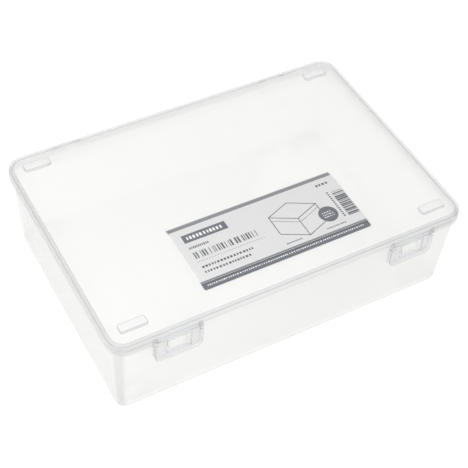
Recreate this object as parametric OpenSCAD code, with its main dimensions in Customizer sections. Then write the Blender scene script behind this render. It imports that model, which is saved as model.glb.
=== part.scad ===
// Clear moulded storage case: a drafted tray, a hinged lid and two snap latches.
// Millimetres, +Z up. The origin is the middle of the face that the tray rests on.
// The front, with the latches, faces -Y, and the hinges are at the back, towards +Y.

/* [Case] */
// Width of the closed case across the lid
case_w = 276; // [240:1:340]
// Depth of the closed case across the lid
case_d = 188; // [150:1:240]
// Height of the closed case up to the lid's rim
case_h = 77; // [60:1:110]
// Corner radius of the lid seen from above
corner_r = 12.5; // [11:0.5:18]

/* [Lid] */
// Height of the lid's skirt
skirt_h = 5; // [4.5:0.25:7]
// Wall thickness of the lid
lid_wall = 1.6; // [1.2:0.1:2]
// Width of the raised rim round the lid's panel
lid_rim_w = 3.3; // [2.6:0.1:5]
// Height of that rim above the panel
lid_rim_h = 0.6; // [0.3:0.1:1]
// Rounding of the lid's outer top edge
lid_edge_r = 0.9; // [0.4:0.1:1.2]

/* [Stacking pads] */
// Length of a stacking pad
pad_w = 20; // [14:0.5:26]
// Width of a stacking pad
pad_d = 7.5; // [6.5:0.5:10]
// Height of a stacking pad above the panel
pad_h = 1.8; // [1:0.1:2.4]
// Corner radius of a stacking pad seen from above
pad_r = 2; // [1.6:0.1:3]
// Distance from the lid's sides to the middle of a pad
pad_from_side = 20.5; // [20:0.5:30]
// Distance from the lid's front to the middle of a front pad
pad_from_front = 15; // [14.6:0.2:24]
// Distance from the lid's back to the middle of a back pad
pad_from_back = 13.4; // [12:0.2:24]

/* [Tray] */
// Wall thickness of the tray
tray_wall = 1.8; // [1.4:0.1:2.4]
// Thickness of the tray's floor
tray_floor = 2; // [1.5:0.1:3]
// Distance from the top of the tray's wall down to the ledge inside it
ledge_drop = 9; // [7:0.5:14]
// Width of that ledge, by which the wall above it is thinner
ledge_w = 0.5; // [0.3:0.1:0.6]
// How far each wall leans in between the flange and the floor
tray_lean = 3; // [1:0.1:4]
// Rounding of the tray's outer bottom edge
base_edge_r = 4; // [3:0.25:4.5]
// Thickness of the tray's flange
flange_t = 1.4; // [1:0.1:2]
// Height of the flange's turned-down lip
lip_h = 3.7; // [3:0.1:6]
// Thickness of the lip
lip_t = 1.2; // [0.8:0.1:1.4]
// How far the lip stands out past the lid
lip_proud = 0.3; // [0:0.1:1]
// Height of a stacking pocket inside the tray
pocket_h = 7; // [5:0.5:10]

/* [Latches] */
// Distance from the lid's side to the middle of a latch
latch_from_side = 46; // [42:1:70]
// Width of a latch
latch_w = 35; // [30:1:40]
// Length of a latch from its pivot to its lower edge
latch_drop = 20; // [18:0.5:26]
// Thickness of the latch's plate
latch_t = 1.6; // [1.2:0.1:1.8]
// Corner radius of the latch's lower edge
latch_corner_r = 5; // [4:0.5:7]
// Depth of the stiffening wall behind the plate
return_depth = 1.9; // [1:0.1:2]
// Thickness of the stiffening wall
return_t = 1.4; // [1:0.1:2]
// Radius of the latch's barrel
barrel_r = 1.5; // [1.3:0.1:1.9]
// Radius of the latch's pivot pins
latch_pin_r = 1; // [0.8:0.1:1.1]
// Width of the latch's window
window_w = 18; // [14:0.5:20]
// Height of the latch's window
window_h = 13; // [10:0.2:14]
// Height of the bar below the window
latch_bar_h = 5.8; // [5:0.1:7]
// Thickness of the lid's lugs at the ends of a barrel
lug_t = 2; // [1.6:0.1:2.6]
// Wall of such a lug round its bore
lug_wall = 1.15; // [1:0.05:1.4]
// Distance from a latch's outer side to the end of the flange
flange_from_latch = 1; // [0.6:0.2:4]

/* [Catches] */
// Width of a catch lug
catch_w = 13; // [9:0.5:13]
// Height of a catch lug
catch_h = 10.5; // [7:0.5:11]
// Height of the catch lug's upright face
catch_face_h = 3; // [1:0.5:5]

/* [Hinges] */
// Distance from the lid's side to the middle of a hinge
hinge_from_side = 50; // [40:1:80]
// Width of the lid's knuckle
knuckle_w = 16; // [10:1:22]
// Radius of the knuckle and of the tray's ears
knuckle_r = 2.6; // [2.4:0.1:3]
// Radius of the hinge pins
hinge_pin_r = 1.5; // [1.2:0.1:1.8]
// Distance from the back of the lid to the hinge axis
hinge_out = 2.6; // [2.6:0.1:4]
// Depth of the hinge axis below the lid's skirt
hinge_drop = 3; // [2.5:0.1:4]
// Thickness of the tray's hinge ears
ear_t = 3; // [2:0.25:5]
// Width of the heel that stops the lid
heel_w = 8; // [4:1:14]
// Thickness of that heel
heel_t = 2; // [1.5:0.1:2.6]
// Angle at which the heel meets the tray's back wall
open_angle = 105; // [95:1:110]

/* [Label] */
// Width of the label film
label_w = 132; // [100:0.5:150]
// Depth of the label film
label_d = 55; // [40:0.5:70]
// Thickness of the label film
label_t = 0.15; // [0.1:0.05:0.3]
// Corner radius of the label film
label_r = 1.5; // [0.5:0.5:4]
// Distance of the label's middle to the right of the lid's middle
label_right = 4; // [-10:0.5:10]
// Distance from the lid's front to the middle of the label
label_from_front = 48.5; // [42:0.5:60]

/* [Clearances] */
// Gap between the lid's skirt and the tray's wall
skirt_gap = 0.5; // [0.3:0.1:0.8]
// Gap between the tray's wall and the underside of the lid
rim_gap = 0.4; // [0.2:0.1:0.6]
// Radial gap between a pin and its bore
pin_gap = 0.05; // [0.02:0.01:0.09]
// Gap at each side of a barrel or a knuckle
side_gap = 0.3; // [0.2:0.05:0.5]
// Gap between a latch and what it passes
latch_gap = 0.3; // [0.2:0.05:0.4]
// Gap round a stacking pad in its pocket
pad_gap = 0.5; // [0.3:0.1:0.8]

/* [Hidden] */
$fn = 64;
merge = 0.6; // how deep joined shapes run into each other
over = 1; // how far a cut runs past what it cuts
flange_edge = 0.4; // chamfer on the flange's outer top edge
ear_gap = 0.2; // what a hinge ear stays below the lid's skirt
heel_gap = 0.1; // what the heel stays off the tray's wall when the lid is fully open

// Corner centres, which every wall, skirt and lip goes round
core_x = case_w / 2 - corner_r;
core_y = case_d / 2 - corner_r;

// Heights
skirt_z = case_h - skirt_h;
panel_z = case_h - lid_rim_h;
under_z = panel_z - lid_wall;
wall_top_z = under_z - rim_gap;
ledge_z = wall_top_z - ledge_drop;

// Distances out from the corner centres
skirt_in_r = corner_r - lid_wall;
wall_r = skirt_in_r - skirt_gap;
lip_r = corner_r + lip_proud;
lean = atan(tray_lean / skirt_z);

// How far out from the corner centres the leaning wall's outer face is at a height
function wall_out_r(z) = wall_r - tray_lean * (1 - z / skirt_z);

// How far out the leaning front and back walls are at a height
function wall_out_y(z) = core_y + wall_out_r(z);

// The wall above the ledge, and how deep lugs and ears root in it
upper_wall = tray_wall - ledge_w;
root_depth = upper_wall / 2;

// Pads and pockets
pad_x = case_w / 2 - pad_from_side;
pad_front_y = -(case_d / 2 - pad_from_front);
pad_back_y = case_d / 2 - pad_from_back;

// Latch pivot, just in front of the lid's edge and below it
latch_x = case_w / 2 - latch_from_side;
lug_r = latch_pin_r + pin_gap + lug_wall;
latch_axis_y = -(core_y + wall_r + latch_gap + lug_r);
latch_axis_z = skirt_z - barrel_r - latch_gap;
barrel_w = latch_w - 2 * (lug_t + side_gap);
plate_back_y = latch_axis_y - (barrel_r - latch_t);
latch_top_drop = lug_r + latch_gap;
window_drop = latch_drop - latch_bar_h - window_h;
flange_end_x = latch_x + latch_w / 2 + flange_from_latch;

// Catch lug, which stands just behind the latch's plate
catch_face_y = plate_back_y + latch_gap;
catch_low_z = latch_axis_z - latch_drop + latch_bar_h + 1;

// Hinge axis behind the lid
hinge_y = case_d / 2 + hinge_out;
hinge_z = skirt_z - hinge_drop;
hinge_x = case_w / 2 - hinge_from_side;
wall_back_y = core_y + wall_r;
heel_reach = hinge_y - wall_back_y - heel_gap;
ear_mid_x = knuckle_w / 2 + side_gap + ear_t / 2;

// Sweeps a section round the corner centres: the section's x runs outwards, its y runs up.
module around(half_x, half_y) {
    for (turn = [0:90:270]) {
        out = turn % 180 == 0 ? half_x : half_y;
        run = turn % 180 == 0 ? half_y : half_x;
        rotate([0, 0, turn]) translate([out, run, 0]) {
            rotate_extrude(angle = 90) children();
            rotate([90, 0, 0]) linear_extrude(2 * run) children();
        }
    }
}

// A flat slab between the corner centres, which fills what around() leaves open
module core_slab(half_x, half_y, low, high) {
    translate([-half_x, -half_y, low]) cube([2 * half_x, 2 * half_y, high - low]);
}

// Extrudes a Y-Z profile along X, centred at x
module along_x(x, width) {
    translate([x - width / 2, 0, 0]) rotate([90, 0, 90]) linear_extrude(width) children();
}

// A round bar along X, centred at x on the axis through y and z
module bar_x(x, y, z, r, width) {
    translate([x - width / 2, y, z]) rotate([0, 90, 0]) cylinder(r = r, h = width);
}

// Both sides of the case: the children are drawn at +x and at -x
module both_sides(x) {
    for (side = [-1, 1]) translate([side * x, 0, 0]) children();
}

// ---- Tray ----

// The filled section of a leaning wall with a rounded bottom edge, from x = from_x outwards
module leaning_section(from_x, foot_r, top_r, low, high, edge_r) {
    edge_x = foot_r + edge_r * tan(lean) - edge_r / cos(lean);
    polygon([
        [from_x, low],
        [edge_x, low],
        [edge_x + edge_r * cos(lean), low + edge_r - edge_r * sin(lean)],
        [top_r, skirt_z],
        [top_r, high],
        [from_x, high]
    ]);
    translate([edge_x, low + edge_r]) circle(edge_r);
}

module tray_section() {
    inner_foot_r = wall_out_r(tray_floor) - tray_wall;
    difference() {
        leaning_section(0, wall_out_r(0), wall_r, 0, wall_top_z, base_edge_r);
        leaning_section(-over, inner_foot_r, wall_r - tray_wall, tray_floor, wall_top_z + over,
            base_edge_r - tray_wall / 2);
        polygon([
            [-over, ledge_z],
            [wall_out_r(ledge_z) - upper_wall, ledge_z],
            [wall_r - upper_wall, skirt_z],
            [wall_r - upper_wall, wall_top_z + over],
            [-over, wall_top_z + over]
        ]);
    }
}

module flange_section() {
    polygon([
        [wall_r - merge, skirt_z - flange_t],
        [lip_r - lip_t, skirt_z - flange_t],
        [lip_r - lip_t, skirt_z - lip_h],
        [lip_r, skirt_z - lip_h],
        [lip_r, skirt_z - flange_edge],
        [lip_r - flange_edge, skirt_z],
        [wall_r - merge, skirt_z]
    ]);
}

// The flange stops between the outer ends of the latches, where a finger lifts the lid,
// and at the hinges, where the lid's knuckles go.
module flange() {
    cut_h = lip_h + over;
    cut_d = lip_r - wall_r + over;
    difference() {
        around(core_x, core_y) flange_section();
        translate([-flange_end_x, -(core_y + wall_r) - cut_d, skirt_z - cut_h])
            cube([2 * flange_end_x, cut_d, cut_h + over]);
        both_sides(hinge_x)
            translate([-knuckle_w / 2 - side_gap, wall_back_y, skirt_z - cut_h])
                cube([knuckle_w + 2 * side_gap, cut_d, cut_h + over]);
    }
}

// A rounded block standing on z = 0, as large as a pad and some more all round
module pad_block(more, high) {
    half_x = pad_w / 2 - pad_r;
    half_y = pad_d / 2 - pad_r;
    linear_extrude(high) {
        square([pad_w + 2 * more, 2 * half_y], center = true);
        square([2 * half_x, pad_d + 2 * more], center = true);
        for (sx = [-1, 1], sy = [-1, 1]) translate([sx * half_x, sy * half_y]) circle(pad_r + more);
    }
}

module at_pads() {
    both_sides(pad_x) for (y = [pad_front_y, pad_back_y]) translate([0, y, 0]) children();
}

// A catch lug: an upright face low down and a ramp that runs out in the wall above it
module catch_lug(x) {
    top_z = catch_low_z + catch_h;
    along_x(x, catch_w) polygon([
        [root_depth - wall_out_y(catch_low_z), catch_low_z],
        [catch_face_y, catch_low_z],
        [catch_face_y, catch_low_z + catch_face_h],
        [root_depth / 2 - wall_out_y(top_z), top_z],
        [root_depth - wall_out_y(top_z), top_z]
    ]);
}

// An ear with a gusset down to the wall; its bore takes the lid's hinge pin.
module hinge_ear(x) {
    high_z = skirt_z - ear_gap;
    low_z = hinge_z - 3 * knuckle_r;
    along_x(x, ear_t) {
        translate([hinge_y, hinge_z]) circle(knuckle_r);
        polygon([
            [wall_out_y(high_z) - root_depth, high_z],
            [hinge_y, hinge_z + knuckle_r],
            [hinge_y, hinge_z - knuckle_r],
            [wall_out_y(low_z) - root_depth, low_z]
        ]);
    }
}

module tray() {
    color([0.93, 0.94, 0.94, 0.6]) difference() {
        union() {
            around(core_x, core_y) tray_section();
            core_slab(core_x, core_y, 0, tray_floor);
            flange();
            at_pads() pad_block(pad_gap + tray_wall, pocket_h);
            for (side = [-1, 1]) {
                catch_lug(side * latch_x);
                for (end = [-1, 1]) hinge_ear(side * hinge_x + end * ear_mid_x);
            }
        }
        at_pads() translate([0, 0, -over]) pad_block(pad_gap, pocket_h - tray_wall + over);
        for (side = [-1, 1])
            bar_x(side * hinge_x, hinge_y, hinge_z, hinge_pin_r + pin_gap, 4 * ear_mid_x);
    }
}

// ---- Lid ----

module lid_section() {
    rim_in = corner_r - lid_rim_w;
    difference() {
        union() {
            polygon([
                [0, skirt_z],
                [0, panel_z],
                [rim_in, panel_z],
                [rim_in + lid_rim_h, case_h],
                [corner_r - lid_edge_r, case_h],
                [corner_r, case_h - lid_edge_r],
                [corner_r, skirt_z]
            ]);
            translate([corner_r - lid_edge_r, case_h - lid_edge_r]) circle(lid_edge_r);
        }
        translate([-over, skirt_z - over]) square([skirt_in_r + over, under_z - skirt_z + over]);
    }
}

// A raised pad with a rounded top edge
module stacking_pad() {
    edge_r = pad_r / 2;
    half_x = pad_w / 2 - pad_r;
    half_y = pad_d / 2 - pad_r;
    top_z = panel_z + pad_h;
    around(half_x, half_y) {
        translate([0, under_z + merge]) square([pad_r, top_z - edge_r - under_z - merge]);
        translate([0, under_z + merge]) square([pad_r - edge_r, top_z - under_z - merge]);
        translate([pad_r - edge_r, top_z - edge_r]) circle(edge_r);
    }
    core_slab(half_x, half_y, under_z + merge, top_z);
}

// The lug that carries one end of a latch's barrel
module latch_lug(x) {
    skirt_y = -case_d / 2;
    along_x(x, lug_t) {
        translate([latch_axis_y, latch_axis_z]) circle(lug_r);
        polygon([
            [latch_axis_y - lug_r, latch_axis_z],
            [skirt_y, skirt_z + lug_r],
            [skirt_y + merge, skirt_z + lug_r],
            [skirt_y + lid_wall, skirt_z],
            [latch_axis_y + lug_r, latch_axis_z]
        ]);
    }
}

// The lid's knuckle with its two pins, its arm and the heel that stops the lid
module lid_knuckle(x) {
    skirt_y = case_d / 2;
    bar_x(x, hinge_y, hinge_z, knuckle_r, knuckle_w);
    bar_x(x, hinge_y, hinge_z, hinge_pin_r, 2 * ear_mid_x + ear_t);
    along_x(x, knuckle_w) polygon([
        [skirt_y - lid_wall / 2, skirt_z],
        [skirt_y - lid_wall / 2, skirt_z + skirt_h / 2],
        [skirt_y, skirt_z + skirt_h / 2],
        [hinge_y, hinge_z + knuckle_r],
        [hinge_y, hinge_z],
        [hinge_y - knuckle_r, hinge_z]
    ]);
    translate([x - heel_w / 2, hinge_y, hinge_z]) rotate([90 + open_angle, 0, 0])
        translate([0, -heel_t / 2, 0]) cube([heel_w, heel_t, heel_reach]);
}

module lid() {
    color([0.95, 0.96, 0.96, 0.6]) difference() {
        union() {
            around(core_x, core_y) lid_section();
            core_slab(core_x, core_y, under_z, panel_z);
            at_pads() stacking_pad();
            for (side = [-1, 1]) {
                lid_knuckle(side * hinge_x);
                for (end = [-1, 1])
                    latch_lug(side * latch_x + end * (latch_w - lug_t) / 2);
            }
        }
        at_pads() translate([0, 0, under_z - over])
            pad_block(-lid_wall, panel_z + pad_h - lid_wall - under_z + over);
        for (side = [-1, 1])
            bar_x(side * latch_x, latch_axis_y, latch_axis_z, latch_pin_r + pin_gap, latch_w + over);
    }
}

// ---- Latches ----

// The latch's outline below its lugs: x across, y up from the pivot
module latch_outline(inset) {
    r = latch_corner_r - inset;
    half_w = latch_w / 2 - inset;
    low = -latch_drop + inset;
    translate([-half_w, low + r]) square([2 * half_w, -latch_top_drop - low - r]);
    translate([-half_w + r, low]) square([2 * (half_w - r), r + merge]);
    for (side = [-1, 1]) translate([side * (half_w - r), low + r]) circle(r);
}

// Stands a front-view outline up, from behind the plate's back face to in front of it
module stand_up(behind, before) {
    translate([0, plate_back_y + behind, latch_axis_z])
        rotate([90, 0, 0]) linear_extrude(behind + before) children();
}

module latch_body(x) {
    translate([x, 0, 0]) {
        bar_x(0, latch_axis_y, latch_axis_z, barrel_r, barrel_w);
        bar_x(0, latch_axis_y, latch_axis_z, latch_pin_r, latch_w);
        stand_up(0, latch_t) difference() {
            union() {
                latch_outline(0);
                translate([-barrel_w / 2, -latch_top_drop - merge])
                    square([barrel_w, latch_top_drop + merge]);
            }
            translate([-window_w / 2, -window_drop - window_h]) square([window_w, window_h]);
        }
        // The stiffening wall leaves the middle free, where the catch lug passes
        stand_up(return_depth, merge) difference() {
            latch_outline(0);
            latch_outline(return_t);
            translate([-latch_w / 2, -latch_top_drop - return_t]) square([latch_w, latch_top_drop]);
            translate([-window_w / 2, -latch_drop - over]) square([window_w, latch_drop]);
        }
    }
}

module latch_left() {
    color([0.80, 0.84, 0.87, 0.75]) latch_body(-latch_x);
}

module latch_right() {
    color([0.80, 0.84, 0.87, 0.75]) latch_body(latch_x);
}

// ---- Label ----

module label_film() {
    half_x = label_w / 2 - label_r;
    half_y = label_d / 2 - label_r;
    color([0.82, 0.83, 0.84, 0.8]) translate([label_right, label_from_front - case_d / 2, panel_z])
        linear_extrude(label_t) {
            square([label_w, 2 * half_y], center = true);
            square([2 * half_x, label_d], center = true);
            for (sx = [-1, 1], sy = [-1, 1]) translate([sx * half_x, sy * half_y]) circle(label_r);
        }
}

tray();
lid();
latch_left();
latch_right();
label_film();
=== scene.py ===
"""Looks, label print, stage and camera for the clip-lid storage case.

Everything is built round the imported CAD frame, whose own objects are dressed but never moved.
"""

import math
import random

import bmesh
import bpy
from mathutils import Matrix, Vector


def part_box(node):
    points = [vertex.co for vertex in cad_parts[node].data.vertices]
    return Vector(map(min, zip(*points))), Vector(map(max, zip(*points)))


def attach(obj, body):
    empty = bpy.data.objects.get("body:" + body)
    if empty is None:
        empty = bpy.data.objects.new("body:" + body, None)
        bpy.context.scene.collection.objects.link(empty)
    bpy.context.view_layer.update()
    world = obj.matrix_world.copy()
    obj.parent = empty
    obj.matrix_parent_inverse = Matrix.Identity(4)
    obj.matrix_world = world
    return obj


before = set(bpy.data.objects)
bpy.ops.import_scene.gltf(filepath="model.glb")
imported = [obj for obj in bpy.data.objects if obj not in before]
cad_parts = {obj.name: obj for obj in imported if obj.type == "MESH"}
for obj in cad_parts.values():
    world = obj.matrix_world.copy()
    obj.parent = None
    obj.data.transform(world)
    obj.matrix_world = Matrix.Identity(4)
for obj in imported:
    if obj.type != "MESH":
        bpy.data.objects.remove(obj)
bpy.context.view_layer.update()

bl_info = {
    "name": "Clip-lid storage case",
    "version": (1, 0, 0),
    "blender": (4, 5, 0),
    "location": "3D View > Sidebar > Case",
    "description": "Dresses the storage case, prints its label and builds the photo stage",
    "category": "Object",
}

MM = 0.001  # the frame is in metres, and the sizes below are in millimetres
PHOTO_SIDE = 468  # pixels on each side of the photo
SENSOR = 36.0  # camera sensor, mm

# Indices of refraction
PP_IOR = 1.49
FILM_IOR = 1.57
INK_IOR = 1.5

# How grey the painted edge shade is on rounded edges next to a sharp edge: on each piece, on
# upright corners, and where light meets the edge from within the wall
TRAY_ROUND = 1.0
LID_ROUND = 0.6
LATCH_ROUND = 0.3
CORNER_SHARE = 0.35
BACK_SHARE = 0.4
EDGES_UP = 1.0  # only edges that look up or sideways are grey
EDGES_DOWN = -1.0  # only edges that look down or sideways are grey

# Cosines between a normal and its nearest axis: a flat side ends and a rounded edge is full grey
FLAT_END = 0.985
ROUND_FULL = 0.85
# Cosine between the bevelled and the own normal at which a sharp edge is full grey
SHARP_FULL = 0.8
# How far a normal leans up or down on an upright corner and on a level edge, and how far one may
# lean the wrong way and still count as sideways
CORNER_LEAN = 0.1
LEVEL_LEAN = 0.4
SIDEWAYS_SLACK = 0.02

# Sizes across the slow ripples in the mouldings' skin, mm
TRAY_RIPPLE = 38.0
LID_RIPPLE = 46.0
LATCH_RIPPLE = 12.0
RIPPLE_HEIGHT = 0.05  # mm
WEAR_SIZE = 2.5  # patches where the skin is duller, mm

FILM_GLOW = 0.35  # share of the light that the label film lets through

# Painted shade: where walls are thick or doubled, bands are painted greyer. They stand in for the
# flange's shadow on the tray wall and for light bent away in the lid's skirt and rim. The values
# are the lower and upper heights in mm and how much. A share below 0 makes the edges there paler
# instead.
LIP_SHADOW_BAND = (68.2, 72.1, 0.16)
SKIRT_SHADE_BAND = (71.9, 74.7, 0.1)
RIM_SHADE_BAND = (76.75, 77.2, 0.32)
LUG_BAND = (0.0, 71.8, -0.5)  # the small lugs under the skirt are all edges, so theirs are paler

# Clarified polypropylene: what the wall lets through, what its haze scatters, the same two painted
# greyer along the edges as painted shade, and what is left of white light after a long way inside
# the wall.
CASE_LOOK = {
    "clear": "#FDFDFD",
    "clear_edge_shade": "#D0D2D3",
    "haze": "#F8F8F8",
    "haze_edge_shade": "#BDBFC0",
    "depth": "#B9BABA",
}
# The tray's walls look very slightly warmer than the lid.
TRAY_LOOK = {**CASE_LOOK, "haze": "#F9F9F7", "haze_edge_shade": "#BFBFBE"}
LATCH_LOOK = {
    "clear": "#FAFAFB",
    "clear_edge_shade": "#B8BABF",
    "haze": "#F5F5F6",
    "haze_edge_shade": "#ADB0B6",
    "depth": "#8C9096",
}
FILM_TINT = "#E7E7E7"

# Printing inks
INK_DARK = "#3F4148"
INK_GREY = "#737578"
INK_SLATE = "#53555E"
INK_LIGHT = "#E4E5E9"

# The paper's own share of its white. The glow of the lit table brings it up to white, and the
# case's shadow falls on this share alone.
FLOOR_WHITE = "#7C7C7C"
FLOOR_DROP = 0.02  # how far the floor lies under the case's foot, so that the two don't touch, mm

KEY_PLACE = (-0.42, -0.34, 0.55)  # metres


def linear(hex_code):
    """An sRGB hex colour as linear RGBA."""
    values = [int(hex_code[i : i + 2], 16) / 255 for i in (1, 3, 5)]
    return [v / 12.92 if v <= 0.04045 else ((v + 0.055) / 1.055) ** 2.4 for v in values] + [1.0]


# ---- Settings ----


class CaseMouldings(bpy.types.PropertyGroup):
    haze: bpy.props.FloatProperty(
        name="Haze",
        description="Share of the light that the wall scatters instead of letting it through",
        default=0.4,
        min=0.0,
        max=1.0,
    )
    edge_reach: bpy.props.FloatProperty(
        name="Edge reach",
        description="How far in from an edge the wall shows grey",
        default=0.0008,
        unit="LENGTH",
        precision=5,
    )
    skin_roughness: bpy.props.FloatProperty(
        name="Skin roughness",
        description="Roughness of the moulded skin",
        default=0.22,
        min=0.0,
        max=1.0,
    )
    depth_density: bpy.props.FloatProperty(
        name="Depth density",
        description="How fast light is lost along the wall, per metre",
        default=6.0,
        min=0.0,
    )


class CaseLatches(bpy.types.PropertyGroup):
    haze: bpy.props.FloatProperty(
        name="Haze",
        description="Share of the light that the latch scatters instead of letting it through",
        default=0.3,
        min=0.0,
        max=1.0,
    )
    edge_reach: bpy.props.FloatProperty(
        name="Edge reach",
        description="How far in from an edge the wall shows grey",
        default=0.0008,
        unit="LENGTH",
        precision=5,
    )
    skin_roughness: bpy.props.FloatProperty(
        name="Skin roughness",
        description="Roughness of the moulded skin",
        default=0.14,
        min=0.0,
        max=1.0,
    )
    depth_density: bpy.props.FloatProperty(
        name="Depth density",
        description="How fast light is lost inside the latch, per metre",
        default=20.0,
        min=0.0,
    )


class CaseLabel(bpy.types.PropertyGroup):
    ink_thickness: bpy.props.FloatProperty(
        name="Ink thickness",
        description="Height of the printed ink above the film",
        default=0.00003,
        unit="LENGTH",
        precision=6,
    )
    seed: bpy.props.IntProperty(
        name="Seed",
        description="Sets how the small print's blocks fall",
        default=7,
    )


class CaseStage(bpy.types.PropertyGroup):
    room_light: bpy.props.FloatProperty(
        name="Room light",
        description="Strength of the even light from all round",
        default=0.98,
        min=0.0,
    )
    key_power: bpy.props.FloatProperty(
        name="Key light",
        description="Power of the soft light above the front left",
        default=2.4,
        min=0.0,
        unit="POWER",
    )
    key_side: bpy.props.FloatProperty(
        name="Key light side",
        description="Side of the soft light's square face",
        default=0.35,
        unit="LENGTH",
    )
    table_glow: bpy.props.FloatProperty(
        name="Table glow",
        description="Light that comes up through the paper from the table",
        default=0.92,
        min=0.0,
    )
    floor_side: bpy.props.FloatProperty(
        name="Floor side",
        description="Side of the floor",
        default=8.0,
        unit="LENGTH",
    )


class CaseCamera(bpy.types.PropertyGroup):
    azimuth: bpy.props.FloatProperty(
        name="Azimuth",
        description="How far the camera stands round to the right of the front",
        default=math.radians(-32.393),
        unit="ROTATION",
    )
    elevation: bpy.props.FloatProperty(
        name="Elevation",
        description="How far the camera looks down",
        default=math.radians(48.364),
        unit="ROTATION",
    )
    roll: bpy.props.FloatProperty(
        name="Roll",
        description="Turn of the camera about its line of sight",
        default=math.radians(4.793),
        unit="ROTATION",
    )
    distance: bpy.props.FloatProperty(
        name="Distance",
        description="Distance of the camera along its line of sight",
        default=0.86017,
        unit="LENGTH",
    )
    pan_right: bpy.props.FloatProperty(
        name="Pan right",
        description="Sideways move of the camera",
        default=0.00445,
        unit="LENGTH",
    )
    pan_up: bpy.props.FloatProperty(
        name="Pan up",
        description="Upward move of the camera",
        default=0.01698,
        unit="LENGTH",
    )
    focal_px: bpy.props.FloatProperty(
        name="Focal length in photo pixels",
        description="Focal length as a number of the photo's pixels",
        default=1120.6,
        min=1.0,
    )


# ---- Materials ----


def add_node(tree, kind, inputs=None, **settings):
    """Adds a shader node. inputs maps a socket to a value, or to the output that feeds it."""
    node = tree.nodes.new(kind)
    for name, value in settings.items():
        setattr(node, name, value)
    for socket, value in (inputs or {}).items():
        if isinstance(value, bpy.types.NodeSocket):
            tree.links.new(value, node.inputs[socket])
        else:
            node.inputs[socket].default_value = value
    return node


def new_material(name, hex_code):
    """An empty node material with a plain colour for the viewport."""
    material = bpy.data.materials.new(name)
    material.use_nodes = True
    material.diffuse_color = linear(hex_code)
    material.node_tree.nodes.clear()
    return material, material.node_tree


def noise(tree, size_mm, detail=2.0, distortion=0.0):
    """Noise whose lumps are about size_mm across on the real piece."""
    where = add_node(tree, "ShaderNodeTexCoord").outputs["Object"]
    return add_node(
        tree,
        "ShaderNodeTexNoise",
        {"Vector": where, "Scale": 1 / (size_mm * MM), "Detail": detail, "Distortion": distortion},
    ).outputs["Fac"]


def ranged(tree, value, low, high, start=0.0, end=1.0):
    """A value between start and end brought to the range from low to high."""
    inputs = {
        "Value": value,
        "From Min": start,
        "From Max": end,
        "To Min": low,
        "To Max": high,
    }
    return add_node(tree, "ShaderNodeMapRange", inputs).outputs["Result"]


def math_node(tree, operation, first, second):
    """The result of one sum of two values."""
    node = add_node(tree, "ShaderNodeMath", {0: first, 1: second}, operation=operation)
    return node.outputs["Value"]


def outer_side(tree):
    """1 where light meets a piece from outside and 0 where it meets the skin from within."""
    inner = add_node(tree, "ShaderNodeNewGeometry").outputs["Backfacing"]
    return math_node(tree, "SUBTRACT", 1.0, inner)


def sharp_edges(tree, reach):
    """1 on a sharp edge, where a bevelled normal leaves the face's own, and 0 at reach from it."""
    bevelled = add_node(tree, "ShaderNodeBevel", {"Radius": reach}, samples=6).outputs["Normal"]
    flat = add_node(tree, "ShaderNodeNewGeometry").outputs["Normal"]
    alike = add_node(
        tree, "ShaderNodeVectorMath", {0: bevelled, 1: flat}, operation="DOT_PRODUCT"
    ).outputs["Value"]
    return ranged(tree, alike, 0.0, 1.0, 1.0, SHARP_FULL)


def rounded_edges(tree, facing):
    """1 on rounded edges, where one flat side turns to the next, and less on upright corners.

    facing is EDGES_UP or EDGES_DOWN. Light that leaves through such an edge is changed less than
    light that comes in.
    """
    own = add_node(tree, "ShaderNodeTexCoord").outputs["Normal"]
    height = add_node(tree, "ShaderNodeSeparateXYZ", {"Vector": own}).outputs["Z"]
    outer = outer_side(tree)
    # A normal is turned round where it is met from within
    outwards = ranged(tree, outer, -facing, facing)
    leaning = math_node(tree, "MULTIPLY", height, outwards)
    kept = math_node(tree, "GREATER_THAN", leaning, -SIDEWAYS_SLACK)
    sides = add_node(
        tree, "ShaderNodeVectorMath", {0: own}, operation="ABSOLUTE"
    ).outputs["Vector"]
    parts = add_node(tree, "ShaderNodeSeparateXYZ", {"Vector": sides}).outputs
    most = math_node(tree, "MAXIMUM", parts["X"], parts["Y"])
    most = math_node(tree, "MAXIMUM", most, parts["Z"])
    turning = ranged(tree, most, 0.0, 1.0, FLAT_END, ROUND_FULL)
    weight = ranged(tree, parts["Z"], CORNER_SHARE, 1.0, CORNER_LEAN, LEVEL_LEAN)
    kept = math_node(tree, "MULTIPLY", kept, ranged(tree, outer, BACK_SHARE, 1.0))
    return math_node(tree, "MULTIPLY", math_node(tree, "MULTIPLY", turning, weight), kept)


def level_band(tree, low, high):
    """1 between two heights of the piece itself, in metres, and 0 above and below."""
    where = add_node(tree, "ShaderNodeTexCoord").outputs["Object"]
    height = add_node(tree, "ShaderNodeSeparateXYZ", {"Vector": where}).outputs["Z"]
    above = math_node(tree, "GREATER_THAN", height, low)
    below = math_node(tree, "LESS_THAN", height, high)
    return math_node(tree, "MULTIPLY", above, below)


def painted_edge_shade(tree, reach, rounding, bands):
    """1 where painted shade goes: on a piece's sharp edges, less on its rounded ones and in its
    bands, and 0 on its faces.

    rounding is the way that the rounded edges look and how grey they are.
    """
    facing, share = rounding
    mask = sharp_edges(tree, reach)
    for low, high, band_share in bands:
        inside = level_band(tree, low, high)
        if band_share < 0:
            paler = ranged(tree, inside, 1.0, 1.0 + band_share)
            mask = math_node(tree, "MULTIPLY", mask, paler)
        else:
            greyer = math_node(tree, "MULTIPLY", inside, band_share)
            mask = math_node(tree, "MAXIMUM", mask, greyer)
    rounded = math_node(tree, "MULTIPLY", rounded_edges(tree, facing), share)
    return math_node(tree, "MAXIMUM", mask, rounded)


def own_bands(node_name, *bands):
    """Bands given by their heights in mm in the closed case, as heights in the node's own space."""
    to_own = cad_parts[node_name].matrix_world.inverted()
    levels = []
    for low, high, share in bands:
        low_z, high_z = ((to_own @ Vector((0.0, 0.0, z * MM))).z for z in (low, high))
        levels.append((low_z, high_z, share))
    return levels


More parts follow.
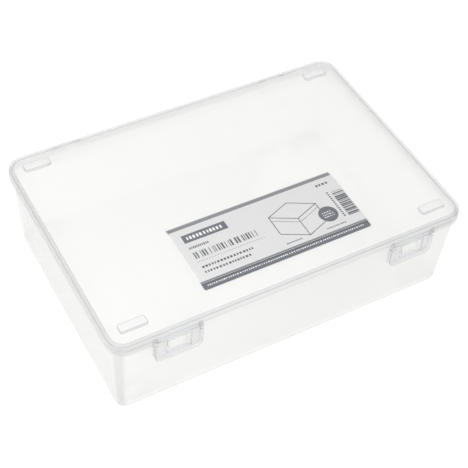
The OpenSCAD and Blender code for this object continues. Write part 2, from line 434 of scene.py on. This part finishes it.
def blend_colours(tree, factor, first, second):
    """first where factor is 0 and second where it is 1."""
    return add_node(
        tree,
        "ShaderNodeMix",
        {"Factor": factor, 6: linear(first), 7: linear(second)},
        data_type="RGBA",
    ).outputs[2]


def skin_shine(tree, roughness, normal):
    """The skin's mirror share by angle, on outer faces only, and the shader for it."""
    fresnel = add_node(tree, "ShaderNodeFresnel", {"IOR": PP_IOR, "Normal": normal})
    share = math_node(tree, "MULTIPLY", fresnel.outputs["Fac"], outer_side(tree))
    shine = add_node(
        tree, "ShaderNodeBsdfGlossy", {"Roughness": roughness, "Normal": normal}
    ).outputs["BSDF"]
    return share, shine


def hazy_plastic(name, look, settings, ripple_mm, rounding, bands=()):
    """Injection-moulded translucent plastic with a smooth skin.

    Most of the light goes straight through, and the haze in the wall scatters the rest, which
    gives the milky look. Along its edges the piece leads light away inside the wall. The thin grey
    lines this gives are painted shade in its colours. Light is also slowly lost over a long way
    through it.
    """
    material, tree = new_material(name, look["clear"])
    # The skin isn't quite even: slow sink and flow ripples, and fine wear that dulls it in places
    ripple = noise(tree, ripple_mm, detail=1.0, distortion=0.4)
    wear = noise(tree, WEAR_SIZE, detail=4.0)
    bump = add_node(
        tree,
        "ShaderNodeBump",
        {"Height": ripple, "Strength": 0.12, "Distance": RIPPLE_HEIGHT * MM},
    ).outputs["Normal"]
    # edge is the painted edge shade: grey lines that stand in for light led away inside the wall
    edge = painted_edge_shade(tree, settings.edge_reach, rounding, bands)
    clear = blend_colours(tree, edge, look["clear"], look["clear_edge_shade"])
    milky = blend_colours(tree, edge, look["haze"], look["haze_edge_shade"])
    through = add_node(tree, "ShaderNodeBsdfTransparent", {"Color": clear}).outputs["BSDF"]
    # Half of what the haze scatters comes back and half goes on through the wall
    front = add_node(
        tree, "ShaderNodeBsdfDiffuse", {"Color": milky, "Normal": bump}
    ).outputs["BSDF"]
    back = add_node(
        tree, "ShaderNodeBsdfTranslucent", {"Color": milky, "Normal": bump}
    ).outputs["BSDF"]
    scattered = add_node(
        tree, "ShaderNodeMixShader", {0: 0.5, 1: front, 2: back}
    ).outputs["Shader"]
    body = add_node(
        tree, "ShaderNodeMixShader", {0: settings.haze, 1: through, 2: scattered}
    ).outputs["Shader"]
    rough = settings.skin_roughness
    share, shine = skin_shine(tree, ranged(tree, wear, rough * 0.85, rough * 1.2), bump)
    surface = add_node(
        tree, "ShaderNodeMixShader", {0: share, 1: body, 2: shine}
    ).outputs["Shader"]
    inside = add_node(
        tree,
        "ShaderNodeVolumeAbsorption",
        {"Color": linear(look["depth"]), "Density": settings.depth_density},
    ).outputs["Volume"]
    add_node(tree, "ShaderNodeOutputMaterial", {"Surface": surface, "Volume": inside})
    return material


def film_material():
    """Self-adhesive polyester film with a satin face that lets some of the light through."""
    material, tree = new_material("printed_film", FILM_TINT)
    grain = noise(tree, 0.6, detail=3.0)
    normal = add_node(
        tree, "ShaderNodeBump", {"Height": grain, "Strength": 0.15, "Distance": 0.01 * MM}
    ).outputs["Normal"]
    face = add_node(
        tree,
        "ShaderNodeBsdfPrincipled",
        {
            "Base Color": linear(FILM_TINT),
            "Roughness": ranged(tree, grain, 0.38, 0.5),
            "IOR": FILM_IOR,
            "Normal": normal,
        },
    ).outputs["BSDF"]
    glow = add_node(
        tree, "ShaderNodeBsdfTranslucent", {"Color": linear(FILM_TINT)}
    ).outputs["BSDF"]
    surface = add_node(
        tree, "ShaderNodeMixShader", {0: FILM_GLOW, 1: face, 2: glow}
    ).outputs["Shader"]
    add_node(tree, "ShaderNodeOutputMaterial", {"Surface": surface})
    return material


def ink_material(name, hex_code):
    """Screen-printed ink: a thin satin layer with slightly uneven cover."""
    material, tree = new_material(name, hex_code)
    cover = noise(tree, 0.35, detail=3.0)
    pale = blend_colours(tree, ranged(tree, cover, 0.0, 0.12), hex_code, INK_LIGHT)
    surface = add_node(
        tree,
        "ShaderNodeBsdfPrincipled",
        {"Base Color": pale, "Roughness": ranged(tree, cover, 0.4, 0.55), "IOR": INK_IOR},
    ).outputs["BSDF"]
    add_node(tree, "ShaderNodeOutputMaterial", {"Surface": surface})
    return material


def floor_material(settings):
    """Matt white studio paper on a softly lit table, so that it stays pale under the case."""
    material, tree = new_material("studio_paper", FLOOR_WHITE)
    fibre = noise(tree, 1.5, detail=5.0)
    paper = add_node(
        tree,
        "ShaderNodeBsdfDiffuse",
        {"Color": linear(FLOOR_WHITE), "Roughness": ranged(tree, fibre, 0.85, 1.0)},
    ).outputs["BSDF"]
    glow = add_node(
        tree, "ShaderNodeEmission", {"Strength": settings.table_glow}
    ).outputs["Emission"]
    surface = add_node(tree, "ShaderNodeAddShader", {0: paper, 1: glow}).outputs["Shader"]
    add_node(tree, "ShaderNodeOutputMaterial", {"Surface": surface})
    return material


def dress(node_name, material):
    """Gives a CAD node its material."""
    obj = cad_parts[node_name]
    obj.data.materials.clear()
    obj.data.materials.append(material)


# ---- Label print: outlines in millimetres from the film's left front corner ----


def bar(left, low, right, high):
    """A plain rectangle."""
    return [(left, low), (right, low), (right, high), (left, high)]


def disc(x, y, radius, sides=48):
    """A disc as a polygon with the given number of sides."""
    angles = [2 * math.pi * i / sides for i in range(sides)]
    return [(x + radius * math.cos(a), y + radius * math.sin(a)) for a in angles]


def stroke(start, end, width):
    """A line from start to end as a thin bar with square ends."""
    a, b = Vector(start), Vector(end)
    along = (b - a).normalized() * (width / 2)
    across = Vector((-along.y, along.x))
    corners = (a - along - across, b + along - across, b + along + across, a - along + across)
    return [tuple(c) for c in corners]


def block_row(rng, left, right, low, high, block, gap):
    """A row of plain blocks of uneven width that stands for a line of small print."""
    bars = []
    x = left
    while x + block < right:
        width = block * rng.uniform(0.55, 1.0)
        bars.append(bar(x, low, x + width, high))
        x += width + gap * rng.uniform(0.8, 1.5)
    return bars


def upright_row(rng, left, right, low, high):
    """Tall thin bars in ones and twos that stand for a heading."""
    bars = []
    x = left
    while x < right:
        thick = rng.choice((0.55, 0.95, 1.25))
        bars.append(bar(x, low, x + thick, high))
        x += thick + rng.choice((0.9, 1.4, 2.2))
    return bars


def band_outline(left, right, low, high, radius, steps=8):
    """The printed band along the label's front, with the label's rounded lower corners."""
    points = [(right, high), (left, high)]
    for centre_x, first in ((left + radius, math.pi), (right - radius, 1.5 * math.pi)):
        for i in range(steps + 1):
            angle = first + i * math.pi / 2 / steps
            x = centre_x + radius * math.cos(angle)
            points.append((x, low + radius + radius * math.sin(angle)))
    return points


def box_motif(x, y):
    """Line drawing of a plain closed box seen from a corner."""
    right, left, up = Vector((18.5, 7.0)), Vector((-18.5, 9.5)), Vector((0.0, 17.0))
    lid = Vector((0.0, 3.6))
    base = Vector((x, y))
    top = base + up
    line, thin = 0.55, 0.3
    edges = [
        (base, base + right, line),
        (base, base + left, line),
        (base, top, line),
        (base + right, top + right, line),
        (base + left, top + left, line),
        (top, top + right, line),
        (top, top + left, line),
        (top + right, top + right + left, line),
        (top + left, top + right + left, line),
        (top - lid, top - lid + right, thin),
        (top - lid, top - lid + left, thin),
    ]
    return [stroke(a, b, width) for a, b, width in edges]


def print_mesh(name, outlines, low, high, origin):
    """One mesh of thin prisms over the outlines, which are in millimetres from origin."""
    bm = bmesh.new()
    for outline in outlines:
        rings = []
        for z in (low, high):
            places = [(origin.x + x * MM, origin.y + y * MM, z) for x, y in outline]
            rings.append([bm.verts.new(place) for place in places])
        bottom, top = rings
        bm.faces.new(list(reversed(bottom)))
        bm.faces.new(top)
        for i in range(len(outline)):
            j = (i + 1) % len(outline)
            bm.faces.new((bottom[i], bottom[j], top[j], top[i]))
    bmesh.ops.recalc_face_normals(bm, faces=bm.faces[:])
    mesh = bpy.data.meshes.new(name)
    bm.to_mesh(mesh)
    bm.free()
    obj = bpy.data.objects.new(name, mesh)
    bpy.context.scene.collection.objects.link(obj)
    return obj


# ---- Operators ----


class CASE_OT_mouldings(bpy.types.Operator):
    """Gives the tray and the lid their translucent polypropylene"""

    bl_idname = "case.dress_mouldings"
    bl_label = "Dress the tray and the lid"

    def execute(self, context):
        settings = context.scene.case_mouldings
        rounding = (EDGES_DOWN, TRAY_ROUND)
        bands = own_bands("tray", LIP_SHADOW_BAND)
        tray = hazy_plastic("clear_pp_tray", TRAY_LOOK, settings, TRAY_RIPPLE, rounding, bands)
        dress("tray", tray)
        rounding = (EDGES_UP, LID_ROUND)
        bands = own_bands("lid", LUG_BAND, SKIRT_SHADE_BAND, RIM_SHADE_BAND)
        lid = hazy_plastic("clear_pp_lid", CASE_LOOK, settings, LID_RIPPLE, rounding, bands)
        dress("lid", lid)
        return {"FINISHED"}


class CASE_OT_latches(bpy.types.Operator):
    """Gives the two latches their clearer, faintly blue plastic"""

    bl_idname = "case.dress_latches"
    bl_label = "Dress the latches"

    def execute(self, context):
        settings = context.scene.case_latches
        rounding = (EDGES_UP, LATCH_ROUND)
        material = hazy_plastic("latch_plastic", LATCH_LOOK, settings, LATCH_RIPPLE, rounding)
        for node_name in ("latch_left", "latch_right"):
            dress(node_name, material)
        return {"FINISHED"}


class CASE_OT_label(bpy.types.Operator):
    """Prints a generic label on the film: rules, blocks for print, a box, a disc and stripes"""

    bl_idname = "case.print_label"
    bl_label = "Print the label"

    def execute(self, context):
        settings = context.scene.case_label
        dress("label_film", film_material())
        low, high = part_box("label_film")
        width = (high.x - low.x) / MM
        depth = (high.y - low.y) / MM
        rng = random.Random(settings.seed)

        # On the left a heading, the line above it, a dotted rule and two lines of print
        dark = upright_row(rng, 6.8, 57.0, 24.8, 30.6)
        dark += block_row(rng, 6.6, 22.6, 34.1, 35.9, 1.1, 0.5)
        dark += [disc(6.4 + 1.2 * i, 21.8, 0.28, 8) for i in range(44)]
        dark += block_row(rng, 7.0, 47.0, 15.7, 17.5, 1.8, 0.8)
        dark += block_row(rng, 6.8, 44.5, 11.2, 12.9, 1.8, 0.8)
        # The drawing, with small print under it, at the top right and along the stripes
        dark += box_motif(88.0, 9.5)
        dark += block_row(rng, 69.0, 82.0, 8.8, 9.9, 0.9, 0.5)
        dark += block_row(rng, 101.5, 117.0, 8.5, 9.6, 0.9, 0.5)
        dark += block_row(rng, 115.5, 126.5, 46.8, 48.6, 2.4, 0.8)
        for y in range(14, 39, 2):
            dark.append(bar(118.8, y, 120.2, y + 1.1))

        # The stripes
        y = 13.4
        while y < 38.6:
            thick = rng.choice((0.35, 0.7, 1.05, 1.4))
            dark.append(bar(122.4, y, width - 0.6, y + thick))
            y += thick + rng.choice((0.35, 0.7, 1.05))

        # The rules and the band reach a little past the front, the back and the left of the film
        left, right = -0.6, width - 0.7
        dark.append(bar(left, 2.6, right, 3.8))
        rules = [bar(left, depth - 1.9, right, depth + 1.2), bar(left, 4.0, right, 5.5)]
        slate = [band_outline(left, right, -1.9, 2.6, 1.5)]
        slate += [bar(6.1, 40.2, 39.9, 47.4), disc(109.6, 20.8, 7.2)]
        # Pale print on the plate, on the disc and along the band
        light = block_row(rng, 9.0, 37.5, 42.4, 45.2, 1.7, 1.1)
        for row in range(3):
            low_y = 18.2 + 2.1 * row
            light += block_row(rng, 105.4, 113.8, low_y, low_y + 0.8, 1.0, 0.6)
        light += block_row(rng, 3.0, width - 4.0, 0.7, 1.8, 1.0, 0.8)

        # Each ink has its own height, so that no two faces lie in one plane
        step = settings.ink_thickness
        layers = (
            ("label_ink_dark", dark, INK_DARK, high.z, high.z + step),
            ("label_ink_rules", rules, INK_GREY, low.z, high.z + 1.3 * step),
            ("label_ink_slate", slate, INK_SLATE, low.z, high.z + 1.6 * step),
            ("label_ink_light", light, INK_LIGHT, high.z, high.z + 2 * step),
        )
        for name, outlines, hex_code, base, face in layers:
            obj = print_mesh(name, outlines, base, face, low)
            obj.data.materials.append(ink_material(name, hex_code))
            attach(obj, "lid")
        return {"FINISHED"}


class CASE_OT_stage(bpy.types.Operator):
    """Builds the white floor, the even room light and the soft key light"""

    bl_idname = "case.build_stage"
    bl_label = "Build the stage"

    def execute(self, context):
        settings = context.scene.case_stage
        bpy.ops.mesh.primitive_plane_add(
            size=settings.floor_side, location=(0, 0, -FLOOR_DROP * MM)
        )
        floor = context.active_object
        floor.name = "studio_floor"
        floor.data.materials.append(floor_material(settings))

        world = bpy.data.worlds.new("studio_room")
        world.use_nodes = True
        tree = world.node_tree
        tree.nodes.clear()
        # Where the room itself is looked at, straight or in a shiny or clear piece, it is white
        path = add_node(tree, "ShaderNodeLightPath").outputs
        looked_at = math_node(tree, "MAXIMUM", path["Is Camera Ray"], path["Is Glossy Ray"])
        looked_at = math_node(tree, "MAXIMUM", looked_at, path["Is Transmission Ray"])
        white = linear("#FFFFFF")
        room = add_node(
            tree, "ShaderNodeBackground", {"Color": white, "Strength": settings.room_light}
        )
        seen = add_node(tree, "ShaderNodeBackground", {"Color": white, "Strength": 1.0})
        mix = add_node(
            tree,
            "ShaderNodeMixShader",
            {0: looked_at, 1: room.outputs["Background"], 2: seen.outputs["Background"]},
        )
        add_node(tree, "ShaderNodeOutputWorld", {"Surface": mix.outputs["Shader"]})
        context.scene.world = world

        lamp_data = bpy.data.lights.new("key_light", "AREA")
        lamp_data.shape = "SQUARE"
        lamp_data.size = settings.key_side
        lamp_data.energy = settings.key_power
        lamp = bpy.data.objects.new("key_light", lamp_data)
        context.scene.collection.objects.link(lamp)
        lamp.location = KEY_PLACE
        lamp.visible_camera = False
        lamp.rotation_euler = (-lamp.location).to_track_quat("-Z", "Y").to_euler()
        return {"FINISHED"}


class CASE_OT_camera(bpy.types.Operator):
    """Places the camera where the photo was taken from"""

    bl_idname = "case.place_camera"
    bl_label = "Place the camera"

    def execute(self, context):
        settings = context.scene.case_camera
        az, el, roll = settings.azimuth, settings.elevation, settings.roll
        back = Vector((math.sin(az) * math.cos(el), -math.cos(az) * math.cos(el), math.sin(el)))
        level = Vector((0.0, 0.0, 1.0)).cross(back).normalized()
        upright = back.cross(level)
        right = level * math.cos(roll) + upright * math.sin(roll)
        up = upright * math.cos(roll) - level * math.sin(roll)
        place = right * settings.pan_right + up * settings.pan_up + back * settings.distance
        turn = Matrix((right, up, back)).transposed().to_4x4()

        data = bpy.data.cameras.new("photo_camera")
        data.sensor_width = SENSOR
        data.lens = settings.focal_px / PHOTO_SIDE * SENSOR
        data.clip_start = 0.01
        camera = bpy.data.objects.new("photo_camera", data)
        context.scene.collection.objects.link(camera)
        camera.matrix_world = Matrix.Translation(place) @ turn
        context.scene.camera = camera
        context.scene.view_settings.view_transform = "Standard"
        return {"FINISHED"}


class CASE_PT_sidebar(bpy.types.Panel):
    bl_label = "Storage case"
    bl_idname = "CASE_PT_sidebar"
    bl_space_type = "VIEW_3D"
    bl_region_type = "UI"
    bl_category = "Case"

    def draw(self, context):
        for group_name, operator in GROUPS:
            box = self.layout.box()
            group = getattr(context.scene, group_name)
            for prop_name in group.__annotations__:
                box.prop(group, prop_name)
            box.operator(operator.bl_idname)


GROUPS = (
    ("case_mouldings", CASE_OT_mouldings),
    ("case_latches", CASE_OT_latches),
    ("case_label", CASE_OT_label),
    ("case_stage", CASE_OT_stage),
    ("case_camera", CASE_OT_camera),
)
SETTINGS = {
    "case_mouldings": CaseMouldings,
    "case_latches": CaseLatches,
    "case_label": CaseLabel,
    "case_stage": CaseStage,
    "case_camera": CaseCamera,
}
OPERATORS = [operator for _, operator in GROUPS]


def register():
    for cls in (*SETTINGS.values(), *OPERATORS, CASE_PT_sidebar):
        bpy.utils.register_class(cls)
    for name, cls in SETTINGS.items():
        setattr(bpy.types.Scene, name, bpy.props.PointerProperty(type=cls))


def unregister():
    for name in SETTINGS:
        delattr(bpy.types.Scene, name)
    for cls in reversed((*SETTINGS.values(), *OPERATORS, CASE_PT_sidebar)):
        bpy.utils.unregister_class(cls)


def main():
    register()
    bpy.ops.case.dress_mouldings()
    bpy.ops.case.dress_latches()
    bpy.ops.case.print_label()
    bpy.ops.case.build_stage()
    bpy.ops.case.place_camera()
    bpy.context.view_layer.update()


if __name__ == "__main__":
    main()
